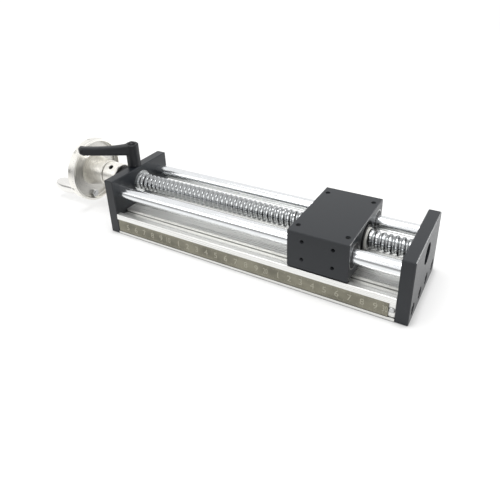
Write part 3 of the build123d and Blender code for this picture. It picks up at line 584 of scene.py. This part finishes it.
def threaded(start, end, radius, cut, lead, columns, run_out):
    """A right-hand thread about X. Each row is one helix: its x is the row's place plus the lead
    times the share of a turn, and its radius is the crest less the row's cut, which fades to none
    at both ends."""
    rows_a_turn = len(cut)
    turns = math.ceil((end - start) / lead) + 2
    rows = turns * rows_a_turn
    share = np.arange(columns) / columns
    x = start - lead + lead * np.arange(rows)[:, None] / rows_a_turn + lead * share
    fade = np.clip(np.minimum(x - start, end - x) / run_out, 0, 1)
    reach = radius - np.tile(cut, turns)[:, None] * fade
    angle = 2 * np.pi * share
    points = np.stack([np.clip(x, start, end), reach * np.cos(angle), reach * np.sin(angle)],
                      axis=-1)
    row, column = np.meshgrid(np.arange(rows - rows_a_turn - 1), np.arange(columns), indexing="ij")
    after = (row + rows_a_turn * ((column + 1) // columns)) * columns + (column + 1) % columns
    here = row * columns + column
    faces = np.stack([here, after, after + columns, here + columns], axis=-1)
    return points.reshape(-1, 3), faces.reshape(-1, 4)


def bars(left, foot, width, height, depth, rise):
    """Flat-lying bars in (along, up, out): unit cubes stretched to size and moved to their feet."""
    corners = np.array([[0, 0, 0], [1, 0, 0], [1, 1, 0], [0, 1, 0],
                        [0, 0, 1], [1, 0, 1], [1, 1, 1], [0, 1, 1]])
    sides = np.array([[0, 3, 2, 1], [4, 5, 6, 7], [0, 1, 5, 4],
                      [1, 2, 6, 5], [2, 3, 7, 6], [3, 0, 4, 7]])
    size = np.stack(np.broadcast_arrays(width, height, depth + rise, left)[:3], axis=-1)
    foot_point = np.stack(np.broadcast_arrays(left, foot, -depth), axis=-1)
    points = foot_point[:, None, :] + corners * size[:, None, :]
    faces = np.arange(len(points))[:, None, None] * len(corners) + sides
    return points.reshape(-1, 3), faces.reshape(-1, 4)


def number(text, height, along, up, depth, rise):
    """A number in (along, up, out), centred at a point of the scale, as points and triangles."""
    curve = bpy.data.curves.new("number", "FONT")
    curve.body = text
    curve.size = height / FIGURE_SHARE
    curve.align_x = "CENTER"
    curve.extrude = (depth + rise) / 2
    curve.resolution_u = 4
    holder = bpy.data.objects.new("number", curve)
    mesh = bpy.data.meshes.new_from_object(holder)
    mesh.calc_loop_triangles()
    points = np.zeros(len(mesh.vertices) * 3)
    mesh.vertices.foreach_get("co", points)
    points = points.reshape(-1, 3)
    faces = np.zeros(len(mesh.loop_triangles) * 3, int)
    mesh.loop_triangles.foreach_get("vertices", faces)
    points += (along, up - height / 2, (rise - depth) / 2)
    bpy.data.objects.remove(holder)
    bpy.data.curves.remove(curve)
    bpy.data.meshes.remove(mesh)
    return points, faces.reshape(-1, 3)


def mark_heights(marks, each, fifth, tenth):
    """The length of each mark of a scale: each tenth, each fifth and the rest have their own."""
    return np.where(marks % 10 == 0, tenth, np.where(marks % 5 == 0, fifth, each))


def laid(parts, surface):
    """Parts in (along, up, out), laid on a surface: a function of the three that gives x, y, z."""
    return [(np.stack(surface(*points.T), axis=-1), faces) for points, faces in parts]


def axis_of(low, high):
    """The point at x = 0 on the axis of a round bar along X, from the bar's box."""
    return 0, (low.y + high.y) / 2, (low.z + high.z) / 2


def moved(parts, place):
    """The (points, faces) parts, moved by a place."""
    return [(points + place, faces) for points, faces in parts]


def make_piece(name, parts, material, body, merge=0.4e-6):
    """Joins (points, faces) parts in one mesh, merges points that meet, and rides it on a body."""
    starts = np.cumsum([0] + [len(points) for points, _ in parts])
    points = np.concatenate([points for points, _ in parts])
    faces = [face for (_, part), start in zip(parts, starts) for face in (part + start).tolist()]
    mesh = bpy.data.meshes.new(name)
    mesh.from_pydata(points.tolist(), [], faces)
    work = bmesh.new()
    work.from_mesh(mesh)
    bmesh.ops.remove_doubles(work, verts=work.verts, dist=merge)
    work.to_mesh(mesh)
    work.free()
    mesh.polygons.foreach_set("use_smooth", np.ones(len(mesh.polygons), bool))
    mesh.set_sharp_from_angle(angle=SHARP_ANGLE)
    mesh.materials.append(material)
    piece = bpy.data.objects.new(name, mesh)
    bpy.context.scene.collection.objects.link(piece)
    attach(piece, body)
    return piece


class ALIGN_OT_finish_parts(bpy.types.Operator):
    """Gives every part of the frame the finish of its slot in the record, and the bright fasteners
    a zinc finish
    """
    bl_idname = "alignment.finish_parts"
    bl_label = "Finish the parts"

    def execute(self, context):
        materials = finishes()
        for part in frame["record"]["subparts"]:
            mesh = frame["nodes"][part["node"]].data
            mesh.materials.clear()
            slot = "bright_fasteners" if part["node"] in BRIGHT_FASTENERS else part["material_slot"]
            mesh.materials.append(materials[slot])
        return {"FINISHED"}


class ALIGN_OT_screw_thread(bpy.types.Operator):
    """Cuts the ball groove in the screw and turns its journals"""
    bl_idname = "alignment.screw_thread"
    bl_label = "Thread the screw"

    def execute(self, context):
        sizes = settings("screw")
        share = np.arange(sizes.rows_a_turn) / sizes.rows_a_turn
        phase = ((share - sizes.start_turn) % 1 - 0.5) * sizes.lead
        inside = np.sqrt(np.clip(sizes.ball_groove ** 2 - phase ** 2, 0, None))
        cut = np.clip(inside - (sizes.ball_groove - sizes.groove_depth), 0, None)
        thread = threaded(THREAD_START, THREAD_END, SCREW_RADIUS, cut, sizes.lead, sizes.columns,
                          sizes.run_out)
        journal = sizes.journal / 2
        chamfer = sizes.journal_chamfer
        groove = sizes.clip_groove / 2
        near = [(SCREW_LOW.x, 0), (SCREW_LOW.x, journal - chamfer),
                (SCREW_LOW.x + chamfer, journal), (THREAD_START, journal),
                (THREAD_START, SCREW_RADIUS)]
        far = [(THREAD_END, SCREW_RADIUS), (THREAD_END, journal), (CLIP_LOW.x, journal),
               (CLIP_LOW.x, groove), (CLIP_HIGH.x, groove), (CLIP_HIGH.x, journal),
               (SCREW_HIGH.x - chamfer, journal), (SCREW_HIGH.x, journal - chamfer),
               (SCREW_HIGH.x, 0)]
        parts = [thread, turned(near, sizes.columns), turned(far, sizes.columns)]
        screw = make_piece("threaded_screw", moved(parts, (0, 0, AXIS_Z)), greased_ball_screw(),
                           "screw")
        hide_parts("ball_screw")
        return {"FINISHED"}


class ALIGN_OT_guide_rods(bpy.types.Operator):
    """Turns the two guide rods with chamfered ends"""
    bl_idname = "alignment.guide_rods"
    bl_label = "Turn the guide rods"

    def execute(self, context):
        sizes = settings("run")
        chamfer = sizes.rod_chamfer
        chrome = bpy.data.materials["hard_chromed_steel"]
        for node in RODS:
            low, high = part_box(node)
            radius = (high.z - low.z) / 2
            outline = [(low.x, 0), (low.x, radius - chamfer), (low.x + chamfer, radius),
                       (high.x - chamfer, radius), (high.x, radius - chamfer), (high.x, 0)]
            parts = moved([turned(outline, sizes.columns)], axis_of(low, high))
            rod = make_piece("turned_" + node, parts, chrome, "frame")
            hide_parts(node)
        return {"FINISHED"}


class ALIGN_OT_nut_wipers(bpy.types.Operator):
    """Turns the wipers in the nut's ends, each a collar on a flat carrier"""
    bl_idname = "alignment.nut_wipers"
    bl_label = "Turn the nut's wipers"

    def execute(self, context):
        sizes = settings("run")
        bore = SCREW_RADIUS + sizes.screw_gap
        carrier = (WIPER_HIGH.z - WIPER_LOW.z) / 2
        collar = sizes.wiper_collar / 2
        inner = NUT_HIGH.x - sizes.wiper_seat
        step = BLOCK_HIGH.x + sizes.wiper_carrier
        outer = WIPER_HIGH.x
        chamfer = sizes.wiper_chamfer
        right = [(inner, bore), (inner, carrier), (step, carrier), (step, collar),
                 (outer - chamfer, collar), (outer, collar - chamfer), (outer, bore), (inner, bore)]
        left = [(2 * BLOCK_X - x, radius) for x, radius in reversed(right)]
        parts = [turned(outline, sizes.columns) for outline in (left, right)]
        wipers = make_piece("turned_wipers", moved(parts, (0, 0, AXIS_Z)),
                            wiper_in_black_carrier(), "carriage")
        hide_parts("nut_wipers")
        return {"FINISHED"}


class ALIGN_OT_seal_lips(bpy.types.Operator):
    """Lays a rubber lip on each end of the linear bearings"""
    bl_idname = "alignment.seal_lips"
    bl_label = "Lay the seal lips"

    def execute(self, context):
        sizes = settings("run")
        rod_low, rod_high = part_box(RODS[0])
        bore = (rod_high.z - rod_low.z) / 2 + sizes.rod_gap
        reach = bore + sizes.seal_lip
        rise = sizes.seal_rise
        parts = []
        for node in BEARINGS:
            low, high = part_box(node)
            for start, end in ((low.x - rise, low.x), (high.x, high.x + rise)):
                outline = [(start, bore), (start, reach), (end, reach), (end, bore), (start, bore)]
                parts += moved([turned(outline, sizes.columns)], axis_of(low, high))
        rubber = bpy.data.materials["nitrile_rubber"]
        make_piece("seal_lips", parts, rubber, "carriage")
        return {"FINISHED"}


class ALIGN_OT_lever_coil(bpy.types.Operator):
    """Coils the lever's spring"""
    bl_idname = "alignment.lever_coil"
    bl_label = "Coil the lever's spring"

    def execute(self, context):
        sizes = settings("lever")
        radius = (SPRING_HIGH.x - SPRING_LOW.x - sizes.wire) / 2
        middle = (SPRING_LOW + SPRING_HIGH) / 2
        half = sizes.wire / 2
        wire = coiled(radius, sizes.wire, SPRING_LOW.z + half, SPRING_HIGH.z - half,
                      sizes.turns, sizes.rows, sizes.columns)
        steel = bpy.data.materials["ground_bearing_steel"]
        coil = make_piece("lever_coil", moved([wire], (middle.x, middle.y, 0)), steel, "lock")
        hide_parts("lever_spring")
        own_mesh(coil)
        return {"FINISHED"}


class ALIGN_OT_ruler_scale(bpy.types.Operator):
    """Etches millimetre marks and centimetre numbers in the ruler"""
    bl_idname = "alignment.ruler_scale"
    bl_label = "Etch the ruler"

    def execute(self, context):
        sizes = settings("scale")
        margin = sizes.ruler_margin
        first = math.ceil((RULER_LOW.x + margin - sizes.first_mark) / MM)
        last = math.floor((RULER_HIGH.x - margin - sizes.first_mark) / MM)
        marks = np.arange(first, last + 1)
        full = RULER_HIGH.z - RULER_LOW.z
        height = mark_heights(marks, sizes.short_tick, sizes.middle_tick, sizes.long_tick)
        height = np.where(marks % 100 == 0, full / 2, height)
        left = sizes.first_mark + marks * MM - sizes.tick_width / 2
        sunk = (sizes.mark_depth, sizes.mark_rise)
        parts = [bars(left, foot, sizes.tick_width, height, *sunk) for foot in (0.0, full - height)]
        for centimetre in range(math.ceil(first / 10), math.floor(last / 10) + 2):
            mark = sizes.first_mark + centimetre * 10 * MM
            whole_tens = centimetre % 10 == 0
            label = str(centimetre) if whole_tens else str(centimetre)[-1]
            points, faces = number(label, sizes.number_height, mark - sizes.number_shift, full / 2,
                                   *sunk)
            if whole_tens:
                points[:, 0] *= sizes.tens_width / np.ptp(points[:, 0])
                edge = min(mark, RULER_HIGH.x) - sizes.tens_gap
                points[:, 0] += edge - points[:, 0].max()
            if RULER_LOW.x < points[:, 0].min() and points[:, 0].max() < RULER_HIGH.x:
                parts.append((points, faces))

        def channel(along, up, out):
            return along, RULER_LOW.y - out, RULER_LOW.z + up

        material = etched_marks("etched_ruler_marks", "ruler_mark")
        make_piece("ruler_scale", laid(parts, channel), material, "frame",
                   merge=0.0)
        return {"FINISHED"}


class ALIGN_OT_wheel_scale(bpy.types.Operator):
    """Marks a hundred divisions with plain numbers round the handwheel's rim"""
    bl_idname = "alignment.wheel_scale"
    bl_label = "Mark the handwheel"

    def execute(self, context):
        sizes = settings("scale")
        marks = np.arange(sizes.dial_marks)
        around = 2 * np.pi * WHEEL_RADIUS
        height = mark_heights(marks, sizes.dial_short, sizes.dial_middle, sizes.dial_long)
        left = marks * around / sizes.dial_marks - sizes.tick_width / 2
        top = sizes.dial_width - sizes.dial_margin
        middle = top - sizes.dial_long - (sizes.dial_number + sizes.dial_margin) / 2
        sunk = (sizes.mark_depth, sizes.mark_rise)
        parts = [bars(left, top - height, sizes.tick_width, height, *sunk)]
        for tenth in range(0, sizes.dial_marks, 10):
            along = tenth * around / sizes.dial_marks
            parts.append(number(str(tenth), sizes.dial_number, along, middle, *sunk))

        def rim(along, up, out):
            angle = along / WHEEL_RADIUS
            reach = WHEEL_RADIUS + out
            return WHEEL_LOW.x + up, -reach * np.sin(angle), AXIS_Z + reach * np.cos(angle)

        material = etched_marks("filled_dial_marks", "dial_mark")
        make_piece("handwheel_scale", laid(parts, rim), material, "screw",
                   merge=0.0)
        return {"FINISHED"}


def thread_lining(bore, depth, pitch, sizes):
    """A tapped hole's lining along X from its mouth: ridges stand into the bore from a sleeve."""
    ridge = pitch * sizes.ridge
    crest = bore / 2 - ridge
    cut = ridge * np.array([0.0, 0.5, 1.0, 0.5]) - ridge
    points, faces = threaded(sizes.mouth, depth, crest, cut, pitch, sizes.columns, pitch / 2)
    outside = bore / 2 + sizes.sleeve
    outline = [(sizes.mouth, crest), (sizes.mouth, outside), (depth, outside), (depth, crest)]
    return [(points, faces[:, ::-1]), turned(outline, sizes.columns)]


class ALIGN_OT_hole_threads(bpy.types.Operator):
    """Lines the carriage's tapped holes with their threads"""
    bl_idname = "alignment.hole_threads"
    bl_label = "Tap the holes"

    def execute(self, context):
        sizes = settings("holes")
        top = thread_lining(sizes.top_bore, sizes.top_depth, sizes.top_pitch, sizes)
        side = thread_lining(sizes.side_bore, sizes.side_depth, sizes.side_pitch, sizes)
        corners = [(first, second) for first in (-0.5, 0.5) for second in (-0.5, 0.5)]
        parts = []
        for points, faces in top:
            down = np.stack([points[:, 2], points[:, 1], -points[:, 0]], axis=-1)
            for right, back in corners:
                x = BLOCK_X + right * sizes.top_spacing_x
                parts.append((down + (x, back * sizes.top_spacing_y, BLOCK_HIGH.z), faces))
        for points, faces in side:
            inward = np.stack([-points[:, 1], points[:, 0], points[:, 2]], axis=-1)
            for right, up in corners:
                x = BLOCK_X + right * sizes.side_spacing_x
                z = AXIS_Z + up * sizes.side_spacing_z
                parts.append((inward + (x, BLOCK_LOW.y, z), faces))
                parts.append((inward * (-1, -1, 1) + (x, BLOCK_HIGH.y, z), faces))
        black = bpy.data.materials["black_anodised_aluminium"]
        make_piece("tapped_threads", parts, black, "carriage")
        return {"FINISHED"}


def soft_lamp(name, place, side, watts):
    """A square soft lamp at a place, turned towards the middle of the screw's axis."""
    light = bpy.data.lights.new(name, "AREA")
    light.shape = "SQUARE"
    light.size = side
    light.energy = watts
    lamp = bpy.data.objects.new(name, light)
    lamp.location = place
    aim = Vector((0.0, 0.0, AXIS_Z)) - Vector(place)
    lamp.rotation_euler = aim.to_track_quat("-Z", "Y").to_euler()
    bpy.context.scene.collection.objects.link(lamp)


def seen_directly(tree):
    """1 for rays from the camera, a glossy surface or through glass, and 0 for the rest."""
    path = add(tree, "ShaderNodeLightPath").outputs
    seen = path["Is Camera Ray"]
    for ray in ("Is Glossy Ray", "Is Transmission Ray"):
        seen = add(tree, "ShaderNodeMath", {0: seen, 1: path[ray]}, operation="MAXIMUM").outputs[0]
    return seen


def lit_paper():
    # Matt white paper with faint fibres, and light added for the camera and for shiny surfaces,
    # which fades close to the object and dims where the rail meets the floor as a painted contact
    # shadow
    colours = settings("colours")
    sizes = settings("studio")
    material = bpy.data.materials.new("white_paper")
    material.use_nodes = True
    tree = material.node_tree
    tree.nodes.clear()
    tints = {0: grain(tree, 3 * MM), MIX_FIRST: colours.paper_dark, MIX_SECOND: colours.paper_pale}
    tints = add(tree, "ShaderNodeMix", tints, data_type="RGBA").outputs[MIXED]
    matt = add(tree, "ShaderNodeBsdfDiffuse", {"Color": tints})
    place = add(tree, "ShaderNodeTexCoord").outputs["Object"]
    away = add(tree, "ShaderNodeVectorMath", {0: place}, operation="LENGTH").outputs["Value"]
    lift = add(tree, "ShaderNodeMapRange",
               {"Value": away, "From Min": sizes.lift_start, "From Max": sizes.lift_full,
                "To Min": sizes.floor_lift, "To Max": sizes.far_lift}).outputs[0]
    across = add(tree, "ShaderNodeSeparateXYZ", {"Vector": place}).outputs["Y"]
    paper = add(tree, "ShaderNodeMapRange", {"Value": across, "From Min": sizes.paper_end,
                                             "From Max": sizes.paper_full}).outputs[0]
    camera = add(tree, "ShaderNodeLightPath").outputs["Is Camera Ray"]
    # Painted contact shadow: the added light dims where the rail stands close
    clear = add(tree, "ShaderNodeAmbientOcclusion", {"Distance": sizes.contact}).outputs["AO"]
    strength = add(tree, "ShaderNodeMath", {0: paper, 1: camera}, operation="MAXIMUM").outputs[0]
    for factor in (seen_directly(tree), lift, clear):
        strength = add(tree, "ShaderNodeMath", {0: strength, 1: factor},
                       operation="MULTIPLY").outputs[0]
    glow = add(tree, "ShaderNodeEmission", {"Color": linear("#FFFFFF"), "Strength": strength})
    both = add(tree, "ShaderNodeAddShader", {0: matt.outputs[0], 1: glow.outputs[0]})
    add(tree, "ShaderNodeOutputMaterial", {"Surface": both.outputs[0]})
    return material


class ALIGN_OT_studio(bpy.types.Operator):
    """Sets the floor, the pale surroundings, the soft lamps and the camera"""
    bl_idname = "alignment.studio"
    bl_label = "Set the studio"

    def execute(self, context):
        self.surroundings(context)
        self.floor(context)
        for name, place, side, watts in LAMPS:
            soft_lamp(name, place, side, watts)
        self.camera(context)
        context.scene.view_settings.view_transform = "Standard"
        return {"FINISHED"}

    def surroundings(self, context):
        """White for the camera, and for shiny surfaces white overhead and behind, dim in front."""
        world = bpy.data.worlds.new("pale_studio")
        world.use_nodes = True
        tree = world.node_tree
        tree.nodes.clear()
        sizes = settings("studio")
        camera = add(tree, "ShaderNodeLightPath").outputs["Is Camera Ray"]
        direction = add(tree, "ShaderNodeTexCoord").outputs["Generated"]
        parts = add(tree, "ShaderNodeSeparateXYZ", {"Vector": direction}).outputs
        height = add(tree, "ShaderNodeMath", {0: parts["Y"], 1: sizes.sky_tilt, 2: parts["Z"]},
                     operation="MULTIPLY_ADD").outputs[0]
        sky = add(tree, "ShaderNodeMapRange",
                  {"Value": height, "From Min": sizes.sky_start, "From Max": sizes.sky_full,
                   "To Min": sizes.low_sky, "To Max": 1.0},
                  interpolation_type="SMOOTHSTEP").outputs[0]
        sky = add(tree, "ShaderNodeMath", {0: sky, 1: camera}, operation="MAXIMUM").outputs[0]
        strength = add(tree, "ShaderNodeMix",
                       {0: seen_directly(tree), 2: sizes.ambient, 3: sky}).outputs[0]
        background = add(tree, "ShaderNodeBackground",
                         {"Color": linear("#FFFFFF"), "Strength": strength})
        add(tree, "ShaderNodeOutputWorld", {"Surface": background.outputs[0]})
        context.scene.world = world

    def floor(self, context):
        """A square of lit paper just below the rail."""
        sizes = settings("studio")
        half = sizes.floor_size / 2
        level = RAIL_LOW.z - sizes.floor_gap
        corners = [(-half, -half, level), (half, -half, level), (half, half, level),
                   (-half, half, level)]
        mesh = bpy.data.meshes.new("studio_floor")
        mesh.from_pydata(corners, [], [(0, 1, 2, 3)])
        mesh.materials.append(lit_paper())
        floor = bpy.data.objects.new("studio_floor", mesh)
        context.scene.collection.objects.link(floor)

    def camera(self, context):
        """The photo's camera, with its lens and shift."""
        sizes = settings("studio")
        level = math.cos(sizes.elevation)
        ahead = Vector((-math.sin(sizes.azimuth) * level, math.cos(sizes.azimuth) * level,
                        -math.sin(sizes.elevation)))
        flat_right = Vector((math.cos(sizes.azimuth), math.sin(sizes.azimuth), 0.0))
        flat_up = flat_right.cross(ahead)
        right = flat_right * math.cos(sizes.roll) + flat_up * math.sin(sizes.roll)
        up = right.cross(ahead)
        data = bpy.data.cameras.new("photo_camera")
        data.lens = sizes.lens
        data.sensor_width = sizes.sensor
        data.shift_x = sizes.shift_x
        data.shift_y = sizes.shift_y
        data.clip_start = sizes.nearest
        data.clip_end = sizes.farthest
        camera = bpy.data.objects.new("photo_camera", data)
        place = Vector((sizes.camera_x, sizes.camera_y, sizes.camera_z))
        turn = Matrix((right, up, -ahead)).transposed().to_4x4()
        camera.matrix_world = Matrix.Translation(place) @ turn
        context.scene.collection.objects.link(camera)
        context.scene.camera = camera


OPERATORS = (ALIGN_OT_finish_parts, ALIGN_OT_screw_thread, ALIGN_OT_guide_rods,
             ALIGN_OT_nut_wipers, ALIGN_OT_seal_lips, ALIGN_OT_lever_coil, ALIGN_OT_ruler_scale,
             ALIGN_OT_wheel_scale, ALIGN_OT_hole_threads, ALIGN_OT_studio)


class ALIGN_PT_panel(bpy.types.Panel):
    """Lists the steps that finish the alignment stage, and their sizes and colours"""
    bl_idname = "ALIGN_PT_panel"
    bl_label = "Alignment stage"
    bl_space_type = "VIEW_3D"
    bl_region_type = "UI"
    bl_category = "Alignment stage"

    def draw(self, context):
        for operator in OPERATORS:
            self.layout.operator(operator.bl_idname)
        for group, kind in SETTINGS.items():
            box = self.layout.box()
            for name in kind.__annotations__:
                box.prop(settings(group), name, text=name.replace("_", " ").capitalize())


def register():
    for kind in (*SETTINGS.values(), *OPERATORS, ALIGN_PT_panel):
        bpy.utils.register_class(kind)
    for group, kind in SETTINGS.items():
        setattr(bpy.types.Scene, "alignment_stage_" + group, PointerProperty(type=kind))


def unregister():
    for group in SETTINGS:
        delattr(bpy.types.Scene, "alignment_stage_" + group)
    for kind in reversed((*SETTINGS.values(), *OPERATORS, ALIGN_PT_panel)):
        bpy.utils.unregister_class(kind)


def main():
    register()
    for operator in OPERATORS:
        getattr(bpy.ops.alignment, operator.bl_idname.removeprefix("alignment."))()


if __name__ == "__main__":
    main()
